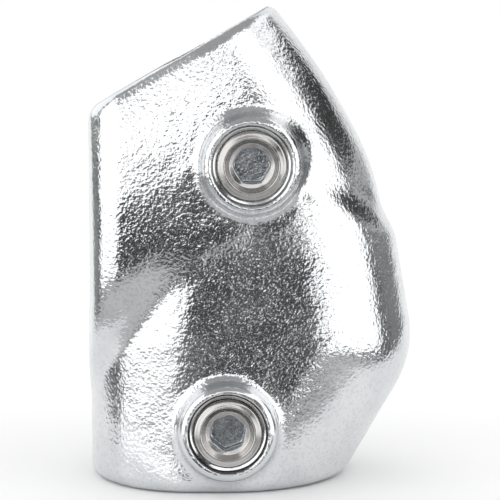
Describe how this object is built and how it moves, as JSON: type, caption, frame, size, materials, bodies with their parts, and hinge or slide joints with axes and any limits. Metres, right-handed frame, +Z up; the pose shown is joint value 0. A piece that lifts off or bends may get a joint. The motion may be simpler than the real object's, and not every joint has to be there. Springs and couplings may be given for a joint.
{
  "type": "variable-angle tube clamp elbow",
  "caption": "Galvanised cast-iron elbow for round tube: a round upper socket and a fan-shaped lower socket that lets its tube lean, each clamped by a hex-socket set screw.",
  "frame": {"origin": "on the lower rim's plane, under the middle of the part's box", "axes": "+Z up from the lower rim, the part standing on it; +X towards the rounded right lobe; the screws face -Y"},
  "size_m": [0.0813, 0.0568, 0.1185],
  "materials": {
    "galvanised_casting": "hot-dip galvanised, bright, grainy as cast",
    "screw_steel": "turned, plated"
  },
  "bodies": {
    "casting": {"casting": "galvanised_casting"},
    "upper_set_screw": {"upper_set_screw": "screw_steel"},
    "lower_set_screw": {"lower_set_screw": "screw_steel"}
  },
  "joints": [
    {"name": "upper_screw_travel", "type": "slide", "parent": "casting", "child": "upper_set_screw", "axis": [0, 1, 0], "range_m": [-0.004, 0.006]},
    {"name": "lower_screw_travel", "type": "slide", "parent": "casting", "child": "lower_set_screw", "axis": [0, 1, 0], "range_m": [-0.004, 0.006]}
  ]
}
